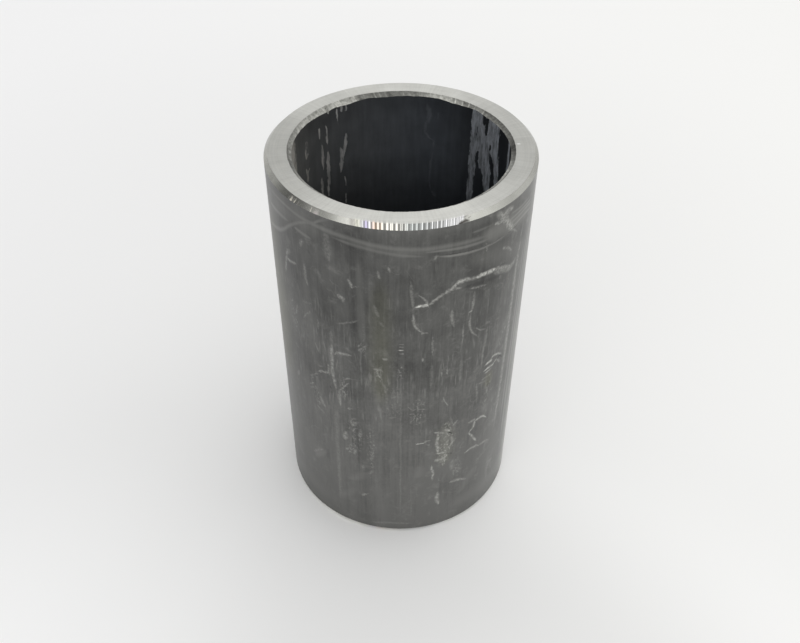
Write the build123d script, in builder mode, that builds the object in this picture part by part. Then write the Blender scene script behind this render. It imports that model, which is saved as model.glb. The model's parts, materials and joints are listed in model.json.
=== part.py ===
# A plain cylindrical bearing bush, cut from cold-drawn steel tube.
# Both ends are faced square in a lathe. The outside corners have a 45 degree
# chamfer that leads the bush into its housing, and each mouth of the bore has
# a shallower, hand-turned countersink that leads the shaft in.
# The bush stands on its end, with the origin at the centre of the lower face
# and +Z along the bore.

import os

from build123d import *

# Driving dimensions, in millimetres
bore_diameter = 24.0
wall_thickness = 3.0
bush_length = 50.0
corner_chamfer = 0.5  # leg of the 45 degree chamfer on the outside corners
countersink_width = 0.5  # across the face, at each mouth of the bore
countersink_depth = 0.4  # along the bore

bore_radius = bore_diameter / 2
outer_radius = bore_radius + wall_thickness

# The section through one wall runs from the bore, round the lower end, up the
# outside and back over the upper end.
with BuildPart() as bush:
    with BuildSketch(Plane.XZ):
        with BuildLine():
            Polyline(
                (bore_radius, countersink_depth),
                (bore_radius + countersink_width, 0),
                (outer_radius - corner_chamfer, 0),
                (outer_radius, corner_chamfer),
                (outer_radius, bush_length - corner_chamfer),
                (outer_radius - corner_chamfer, bush_length),
                (bore_radius + countersink_width, bush_length),
                (bore_radius, bush_length - countersink_depth),
                close=True,
            )
        make_face()
    revolve(axis=Axis.Z)

bush.part.label = "bush"
os.makedirs("parts", exist_ok=True)
export_step(bush.part, "parts/bush.step")
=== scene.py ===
import json
import math

import bmesh
import bpy
from mathutils import Matrix, Vector, noise


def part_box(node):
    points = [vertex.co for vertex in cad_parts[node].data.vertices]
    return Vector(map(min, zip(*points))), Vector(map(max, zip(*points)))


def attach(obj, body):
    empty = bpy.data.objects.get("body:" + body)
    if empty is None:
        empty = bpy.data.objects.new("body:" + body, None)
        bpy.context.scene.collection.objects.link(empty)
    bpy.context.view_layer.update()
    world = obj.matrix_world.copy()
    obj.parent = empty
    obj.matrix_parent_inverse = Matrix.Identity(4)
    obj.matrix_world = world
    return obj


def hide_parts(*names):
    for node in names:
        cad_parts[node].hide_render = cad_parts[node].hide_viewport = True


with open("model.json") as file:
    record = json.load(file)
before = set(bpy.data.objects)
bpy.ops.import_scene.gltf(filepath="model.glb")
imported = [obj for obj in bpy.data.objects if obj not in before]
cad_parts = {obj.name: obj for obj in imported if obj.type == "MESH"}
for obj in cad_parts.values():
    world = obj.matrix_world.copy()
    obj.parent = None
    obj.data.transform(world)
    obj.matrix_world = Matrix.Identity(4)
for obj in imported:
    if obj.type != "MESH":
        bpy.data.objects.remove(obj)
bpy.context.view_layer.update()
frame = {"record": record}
scene = bpy.context.scene
mm = 0.001

# The sizes that the frame gives
bushLow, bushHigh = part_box("bush")
outerRadius = (bushHigh.x - bushLow.x) / 2
bushLength = bushHigh.z - bushLow.z
boreMount = next(mount for mount in frame["record"]["mounts"] if mount["name"] == "bore")
boreRadius = boreMount["dims"]["r_mm"] * mm
print("frame loaded")


def hexColour(code):
    # sRGB hex to linear, with alpha
    parts = [int(code[place:place + 2], 16) / 255 for place in (1, 3, 5)]
    return [c / 12.92 if c <= 0.04045 else ((c + 0.055) / 1.055) ** 2.4 for c in parts] + [1.0]


def addNode(tree, kind, settings=None, inputs=None):
    # one node, with its settings, and its inputs either linked or given a value
    node = tree.nodes.new(kind)
    for name, value in (settings or {}).items():
        setattr(node, name, value)
    for name, value in (inputs or {}).items():
        if isinstance(value, bpy.types.NodeSocket):
            tree.links.new(value, node.inputs[name])
        else:
            node.inputs[name].default_value = value
    return node


def newMaterial(name):
    material = bpy.data.materials.new(name)
    material.use_nodes = True
    tree = material.node_tree
    tree.nodes.clear()
    return material, tree


# Camera: a phone held about 100 mm from the upper end, looking down past it
view = {
    "place": (0.0, -86.49 * mm, 101.89 * mm),
    "pitch": 41.94,  # degrees below the horizon
    "roll": 0.42,
    "lens": 40.78,  # millimetres on a 36 mm wide sensor
}


def makeCamera():
    data = bpy.data.cameras.new("camera")
    data.sensor_fit = "HORIZONTAL"
    data.sensor_width = 36.0
    data.lens = view["lens"]
    data.clip_start = 1 * mm
    data.clip_end = 20.0
    camera = bpy.data.objects.new("camera", data)
    scene.collection.objects.link(camera)
    tilt = Matrix.Rotation(math.radians(90 - view["pitch"]), 4, "X")
    roll = Matrix.Rotation(math.radians(view["roll"]), 4, "Z")
    camera.matrix_world = Matrix.Translation(view["place"]) @ tilt @ roll
    scene.camera = camera


makeCamera()
print("camera placed")


# The bush itself. Angles are in degrees anticlockwise from +X, seen from above, so 270 faces the camera.
bush = {
    "steps": 1440,  # round the axis
    "chamfer": 0.5 * mm,
    "mouthWidth": 0.5 * mm,  # countersink, across the face
    "mouthDepth": 0.4 * mm,  # countersink, down the bore
    # how far the torn edges wander, how many times in a turn, and a step of the seed
    "depthTear": ((0.05 * mm, 130, 0), (0.02 * mm, 420, 0)),
    "widthTear": ((0.05 * mm, 30, 1), (0.03 * mm, 200, 0)),
    "chamferTear": ((0.03 * mm, 9, 2),),
    "slopeTear": 0.05 * mm,
    "chatterPitch": (0.42 * mm, 0.27 * mm),  # of the ripples on the chamfer, at both ends of their arc
    "chatterDepth": 0.012 * mm,
    "chatterArc": (251.5, 293.5),
    "strayChatter": ((222, 2.2, 0.9), (237, 2.0, 0.5)),  # centre and half width in degrees, and how strong
    "gouge": (295.5, 1.8, 0.06 * mm),  # where the tool came out: centre, half width and depth
    "nick": (135.5, 0.9, 0.35 * mm),  # in the countersink's edge, as above
}

# How far the upper countersink reaches down the bore, and how wide the upper chamfer is, by angle, in mm
mouthDepths = [
    (0, 0.24), (20, 0.30), (36, 0.37), (43, 0.19), (51, 0.33), (60, 0.45), (67, 0.28), (80, 0.33), (90, 0.39),
    (100, 0.49), (110, 0.37), (122, 0.59), (130, 0.46), (139, 0.57), (146, 0.47), (160, 0.42), (180, 0.42),
    (230, 0.40), (310, 0.36), (360, 0.24),
]
chamferWidths = [
    (0, 0.40), (20, 0.40), (75, 0.42), (95, 0.48), (125, 0.54), (155, 0.52), (170, 0.43), (190, 0.44),
    (205, 0.54), (222, 0.46), (292, 0.46), (310, 0.50), (335, 0.48), (360, 0.40),
]
tiny = 0.001 * mm


def readRing(places, angle):
    # the value at an angle, straight between the places
    for (a, low), (b, high) in zip(places, places[1:]):
        if a <= angle <= b:
            return low + (high - low) * (angle - a) / (b - a)


def bump(angle, centre, halfWidth):
    # 1 at the centre, falling smoothly to 0
    away = abs((angle - centre + 180) % 360 - 180) / halfWidth
    return 0.0 if away >= 1 else 0.5 + 0.5 * math.cos(math.pi * away)


def roughRing(angle, perTurn, seed):
    # even noise round a ring, with no seam
    turn = math.radians(angle)
    reach = perTurn / (2 * math.pi)
    return noise.noise(Vector((math.cos(turn) * reach, math.sin(turn) * reach, seed)))


def tear(angle, waves, seed):
    return sum(size * roughRing(angle, perTurn, seed + step) for size, perTurn, step in waves)


def chatter(angle, seed):
    # ripples left by a chamfer tool that sprang, their pitch falling along the arc
    first, last = bush["chatterArc"]
    arc = math.radians(angle - first) * outerRadius
    reach = math.radians(last - first) * outerRadius
    near, far = bush["chatterPitch"]
    along = min(max(arc, -reach), 2 * reach)
    turns = along / near + (along * along) / (2 * reach) * (1 / far - 1 / near)
    # the ripples start and stop within a degree, with faint ones further out
    inside = min(max(min(angle - first, last - angle) + 0.5, 0.0), 1.0)
    strength = 0.85 * inside + 0.12 * bump(angle, (first + last) / 2, 50)
    for centre, halfWidth, level in bush["strayChatter"]:
        strength += level * bump(angle, centre, halfWidth)
    strength *= 0.75 + 0.5 * roughRing(angle, 90, seed + 4)
    wave = 0.5 - 0.5 * math.cos(2 * math.pi * turns + 1.2 * roughRing(angle, 60, seed))
    centre, halfWidth, depth = bush["gouge"]
    return bush["chatterDepth"] * min(strength, 1.0) * wave + depth * bump(angle, centre, halfWidth)


def endShape(angle, upper):
    # one end at this angle: how deep and wide its countersink is, and how wide its chamfer
    if upper:
        seed = 3.0
        depth = readRing(mouthDepths, angle) * mm
        chamfer = readRing(chamferWidths, angle) * mm
    else:
        seed = 8.0
        depth = bush["mouthDepth"] * (1 + 0.4 * roughRing(angle, 14, seed))
        chamfer = bush["chamfer"]
    depth += tear(angle, bush["depthTear"], seed)
    width = bush["mouthWidth"] + tear(angle, bush["widthTear"], seed)
    chamfer += tear(angle, bush["chamferTear"], seed)
    if upper:
        centre, halfWidth, extra = bush["nick"]
        depth += extra * bump(angle, centre, halfWidth)
        width += 0.3 * extra * bump(angle, centre, halfWidth)
    return depth, width, chamfer


def makeSection(bm):
    # the section of one wall, as a closed loop of vertices in the XZ plane
    chamfer, width, depth = bush["chamfer"], bush["mouthWidth"], bush["mouthDepth"]
    top = bushLength
    corners = [  # and how many rows lead to the next corner
        (boreRadius, depth, 3),
        (boreRadius + width, 0.0, 4),
        (outerRadius - chamfer, 0.0, 4),
        (outerRadius, chamfer, 12),
        (outerRadius, top - chamfer, 7),
        (outerRadius - chamfer, top, 6),
        (boreRadius + width, top, 7),
        (boreRadius, top - depth, 8),
    ]
    points = []
    for place, (radius, height, rows) in enumerate(corners):
        nextRadius, nextHeight, _ = corners[(place + 1) % len(corners)]
        for row in range(rows):
            share = row / rows
            points.append((radius + (nextRadius - radius) * share, height + (nextHeight - height) * share))
    loop = [bm.verts.new((radius, 0.0, height)) for radius, height in points]
    for first, second in zip(loop, loop[1:] + loop[:1]):
        bm.edges.new((first, second))


def zoneOf(radius, height):
    # 0 wall, 1 face, 2 chamfer, 3 countersink, 4 bore
    fromEnd = min(height, bushLength - height)
    if radius < boreRadius + tiny:
        return 4
    if radius > outerRadius - tiny:
        return 0
    if fromEnd < tiny:
        return 1
    return 2 if radius > outerRadius - bush["chamfer"] - tiny else 3


def shapeVertex(vert, shapes):
    # moves one vertex of an end to where its angle has it; the shape at each angle is worked out once
    radius, height = math.hypot(vert.co.x, vert.co.y), vert.co.z
    angle = math.degrees(math.atan2(vert.co.y, vert.co.x)) % 360
    upper = height > bushLength / 2
    fromEnd = bushLength - height if upper else height
    if fromEnd > max(bush["chamfer"], bush["mouthDepth"]) + tiny:
        return
    key = (round(angle * 100), upper)
    if key not in shapes:
        shapes[key] = endShape(angle, upper)
    depth, width, chamfer = shapes[key]
    inner, outer = boreRadius + bush["mouthWidth"], outerRadius - bush["chamfer"]
    if radius < inner - tiny:  # the countersink
        share = (radius - boreRadius) / bush["mouthWidth"]
        newRadius = boreRadius + width * share
        newEnd = depth * (1 - share)
        torn = math.sin(math.pi * share) * bush["slopeTear"]
        newEnd += torn * roughRing(angle, 260, share * 2.0) + torn * 0.8
    elif radius <= outer + tiny:  # the face
        share = (radius - inner) / (outer - inner)
        newRadius = boreRadius + width + (outerRadius - chamfer - boreRadius - width) * share
        newEnd = 0.0
    else:  # the chamfer, with its chatter
        share = (radius - outer) / bush["chamfer"]
        across = math.sin(math.pi * min(share * 1.15, 1.0)) ** 0.5
        sink = 0.7 * across * chatter(angle, 5.0 if upper else 6.0)  # the 45 degree slope's share of it
        newRadius = outerRadius - chamfer * (1 - share) - sink
        newEnd = chamfer * share + sink
    scale = newRadius / radius
    vert.co.x *= scale
    vert.co.y *= scale
    vert.co.z = bushLength - newEnd if upper else newEnd


def makeBush(materials):
    bm = bmesh.new()
    makeSection(bm)
    turn = math.pi / 4  # an eighth of a turn is spun, then doubled three times, which is far quicker
    bmesh.ops.spin(
        bm, geom=bm.verts[:] + bm.edges[:], cent=(0, 0, 0), axis=(0, 0, 1), dvec=(0, 0, 0),
        angle=turn, steps=bush["steps"] // 8, use_merge=False, use_duplicate=False,
    )
    for doubling in range(3):
        copied = bmesh.ops.duplicate(bm, geom=bm.verts[:] + bm.edges[:] + bm.faces[:])["geom"]
        bmesh.ops.rotate(
            bm, verts=[item for item in copied if isinstance(item, bmesh.types.BMVert)],
            cent=(0, 0, 0), matrix=Matrix.Rotation(turn * 2 ** doubling, 3, "Z"),
        )
    bmesh.ops.remove_doubles(bm, verts=bm.verts, dist=tiny)
    bmesh.ops.recalc_face_normals(bm, faces=bm.faces)
    for face in bm.faces:
        face.smooth = True
        # a face's middle lies a little inside the round, so its radius is the mean of its corners'
        radii = [math.hypot(vert.co.x, vert.co.y) for vert in face.verts]
        face.material_index = zoneOf(sum(radii) / len(radii), face.calc_center_median().z)
    for edge in bm.edges:
        zones = {face.material_index for face in edge.link_faces}
        edge.smooth = len(zones) == 1
    shapes = {}
    for vert in bm.verts:
        shapeVertex(vert, shapes)
    mesh = bpy.data.meshes.new("turned_bush")
    bm.to_mesh(mesh)
    bm.free()
    for material in materials:
        mesh.materials.append(material)
    piece = bpy.data.objects.new("turned_bush", mesh)
    scene.collection.objects.link(piece)
    return piece


def metreToMillimetre(tree):
    # Object coordinates in millimetres, which every pattern below is scaled in
    coordinates = addNode(tree, "ShaderNodeTexCoord")
    return addNode(tree, "ShaderNodeVectorMath", {"operation": "SCALE"},
                   {0: coordinates.outputs["Object"], "Scale": 1 / mm}).outputs[0]


def alongTube(tree, point, share):
    # coordinates that draw a pattern out along the tube: the smaller the share, the longer
    return addNode(tree, "ShaderNodeVectorMath", {"operation": "MULTIPLY"},
                   {0: point, 1: (1.0, 1.0, share)}).outputs[0]


def unroll(tree, point, radius, facing):
    # arc length from the camera side (facing -1) or from the far side (facing 1), and height, in mm
    parts = addNode(tree, "ShaderNodeSeparateXYZ", None, {0: point})
    depth = addNode(tree, "ShaderNodeMath", {"operation": "MULTIPLY"}, {0: parts.outputs["Y"], 1: facing})
    angle = addNode(tree, "ShaderNodeMath", {"operation": "ARCTAN2"},
                    {0: parts.outputs["X"], 1: depth.outputs[0]})
    arc = addNode(tree, "ShaderNodeMath", {"operation": "MULTIPLY"}, {0: angle.outputs[0], 1: radius / mm})
    return arc.outputs[0], parts.outputs["Z"]


# How every mark ends, as shares: where it is at full strength, how strong its tail is, its tips' width
markEnds = {"fade": 0.14, "tail": 0.85, "tip": 0.4}
trackGap = 0.5  # mm between two marks on one track


def packMarks(marks):
    # marks that run the same way, one after another, share a track: fewer nodes draw them
    tracks = []
    ordered = []
    for halfWidth, strength, points in marks:
        reach = [max(values) - min(values) for values in zip(*points)]
        run = 0 if reach[0] > reach[1] else 1
        course = sorted(points, key=lambda point: point[run])
        ordered.append((course[0][run], run, halfWidth, strength, course))
    for start, run, halfWidth, strength, course in sorted(ordered):
        free = (track for track in tracks if track["run"] == run and track["stop"] + trackGap < start)
        track = next(free, None)
        if track is None:
            track = {"run": run, "marks": []}
            tracks.append(track)
        track["marks"].append((halfWidth, strength, course))
        track["stop"] = course[-1][run]
    return tracks


def fillCurve(curve, places):
    # straight between its points; the two that a new curve has become the first and the last
    places = sorted(places)
    curve.points[0].location = (0.0, places[0][1])
    curve.points[-1].location = (1.0, places[-1][1])
    for place in places:
        curve.points.new(*place)
    for point in curve.points:
        point.handle_type = "VECTOR"


def levelAlong(tree, socket, low, length, places):
    # a level that goes by the value of a socket, given at some places and straight between them
    share = addNode(tree, "ShaderNodeMapRange", None,
                    {"Value": socket, "From Min": low, "From Max": low + length})
    level = addNode(tree, "ShaderNodeFloatCurve", None, {"Value": share.outputs[0]})
    highest = max(value for place, value in places)
    shares = [((place - low) / length, value / highest) for place, value in places]
    fillCurve(level.mapping.curves[0], shares)
    level.mapping.update()
    return addNode(tree, "ShaderNodeMath", {"operation": "MULTIPLY"},
                   {0: level.outputs[0], 1: highest}).outputs[0]


def markMask(tree, sockets, spans, marks):
    # sockets are arc and height, spans the lowest value and the length of each, all in mm
    shares = [
        addNode(tree, "ShaderNodeMapRange", None,
                {"Value": socket, "From Min": low, "From Max": low + length})
        for socket, (low, length) in zip(sockets, spans)
    ]
    peak = max(strength for halfWidth, strength, points in marks)
    total = None
    for track in packMarks(marks):
        run, side = track["run"], 1 - track["run"]
        (runLow, runLength), (sideLow, sideLength) = spans[run], spans[side]
        lines, fades, widths = [], [], []
        for halfWidth, strength, course in track["marks"]:
            lines += [((point[run] - runLow) / runLength, (point[side] - sideLow) / sideLength)
                      for point in course]
            start, stop = lines[-len(course)][0], lines[-1][0]
            inward = markEnds["fade"] * (stop - start)
            level = strength / peak
            fades += [(start, 0.0), (start + inward, level),
                      (stop - inward, markEnds["tail"] * level), (stop, 0.0)]
            width = halfWidth / sideLength
            tip = markEnds["tip"] * width
            widths += [(start, tip), (start + 2 * inward, width), (stop - 2 * inward, width), (stop, tip)]
        path = addNode(tree, "ShaderNodeRGBCurve", None, {"Color": shares[run].outputs[0]})
        for curve, places in zip(path.mapping.curves, (lines, fades, widths)):
            fillCurve(curve, places)
        path.mapping.update()
        parts = addNode(tree, "ShaderNodeSeparateColor", None, {0: path.outputs[0]})
        away = addNode(tree, "ShaderNodeMath", {"operation": "SUBTRACT"},
                       {0: shares[side].outputs[0], 1: parts.outputs[0]})
        away = addNode(tree, "ShaderNodeMath", {"operation": "ABSOLUTE"}, {0: away.outputs[0]})
        mark = addNode(tree, "ShaderNodeMapRange", {"interpolation_type": "SMOOTHSTEP"}, {
            "Value": away.outputs[0], "From Min": parts.outputs[2], "From Max": 0.0,
            "To Max": parts.outputs[1]})
        total = mark if total is None else addNode(
            tree, "ShaderNodeMath", {"operation": "MAXIMUM"}, {0: total.outputs[0], 1: mark.outputs[0]})
    return addNode(tree, "ShaderNodeMath", {"operation": "MULTIPLY"},
                   {0: total.outputs[0], 1: peak}).outputs[0]


# The fields that the marks lie in: lowest value and length of arc and of height, in mm
wallSpans = ((-20.0, 40.0), (0.0, 50.0))
boreSpans = ((-24.0, 48.0), (32.0, 24.0))
chamferSpans = ((-20.0, 40.0), (49.0, 1.0))

# Marks on the outside: half width and strength, then arc from the camera side, to the right, and height,
# all in mm. First the smooth ones.
wallRings = [
    # straight lines along the right edge
    (0.44, 0.17, [(17.1, 44.7), (16.6, 29.8), (15.9, 12.0)]),
    (0.46, 0.21, [(17.9, 46.7), (17.4, 29.8), (16.9, 6.1)]),
    (0.46, 0.17, [(18.6, 45.8), (18.1, 20.1)]),
    # rings near the top
    (0.55, 0.13, [(-19.5, 47.7), (-17.0, 48.3), (-14.0, 48.4), (-11.5, 48.2), (-8.5, 48.1), (-5.5, 47.9),
                  (-3.5, 47.6), (-1.0, 47.3), (2.0, 47.1), (5.0, 47.1), (9.0, 46.95), (12.0, 47.0),
                  (15.5, 47.5)]),
    (0.44, 0.11, [(-7.5, 47.5), (-4.0, 47.1), (-2.0, 46.8), (0.0, 46.5), (2.8, 46.2)]),
    (0.90, 0.07, [(-6.5, 47.6), (-3.0, 47.2), (0.0, 46.9), (3.5, 46.7)]),
    (0.34, 0.15, [(1.5, 46.7), (4.0, 46.7), (6.5, 46.5), (8.9, 46.4), (11.5, 46.5), (14.0, 46.7),
                  (16.9, 47.0)]),
    (0.34, 0.19, [(3.2, 46.1), (5.0, 45.8), (7.0, 45.65), (9.0, 45.55), (11.0, 45.6), (13.4, 45.85),
                  (16.2, 46.2)]),
    (0.30, 0.10, [(7.3, 48.0), (10.7, 48.0)]),
    # where they run on up to the right edge, across a broad scuff
    (0.34, 0.17, [(12.6, 48.0), (14.8, 47.8), (17.0, 47.8)]),
    (0.34, 0.23, [(12.2, 47.2), (14.5, 47.35), (16.0, 47.3), (18.0, 47.1)]),
    (0.34, 0.25, [(11.8, 46.6), (14.0, 46.8), (16.0, 46.9), (18.2, 46.6)]),
    (0.34, 0.25, [(12.6, 46.0), (14.5, 46.2), (16.2, 46.2), (18.2, 45.8)]),
    # a curve that crosses the rings on the left, and two lines beside it
    (0.52, 0.14, [(-20.0, 42.6), (-17.0, 43.6), (-15.5, 44.2), (-14.5, 44.9), (-13.5, 45.9), (-12.5, 46.7),
                  (-11.5, 47.4), (-10.5, 47.9), (-9.5, 48.2), (-8.6, 48.9), (-7.2, 49.6)]),
    (0.50, 0.14, [(-18.5, 46.1), (-15.6, 46.4), (-13.0, 46.6)]),
    (0.44, 0.13, [(-12.6, 46.4), (-11.0, 46.2), (-9.7, 46.1)]),
]

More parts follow.
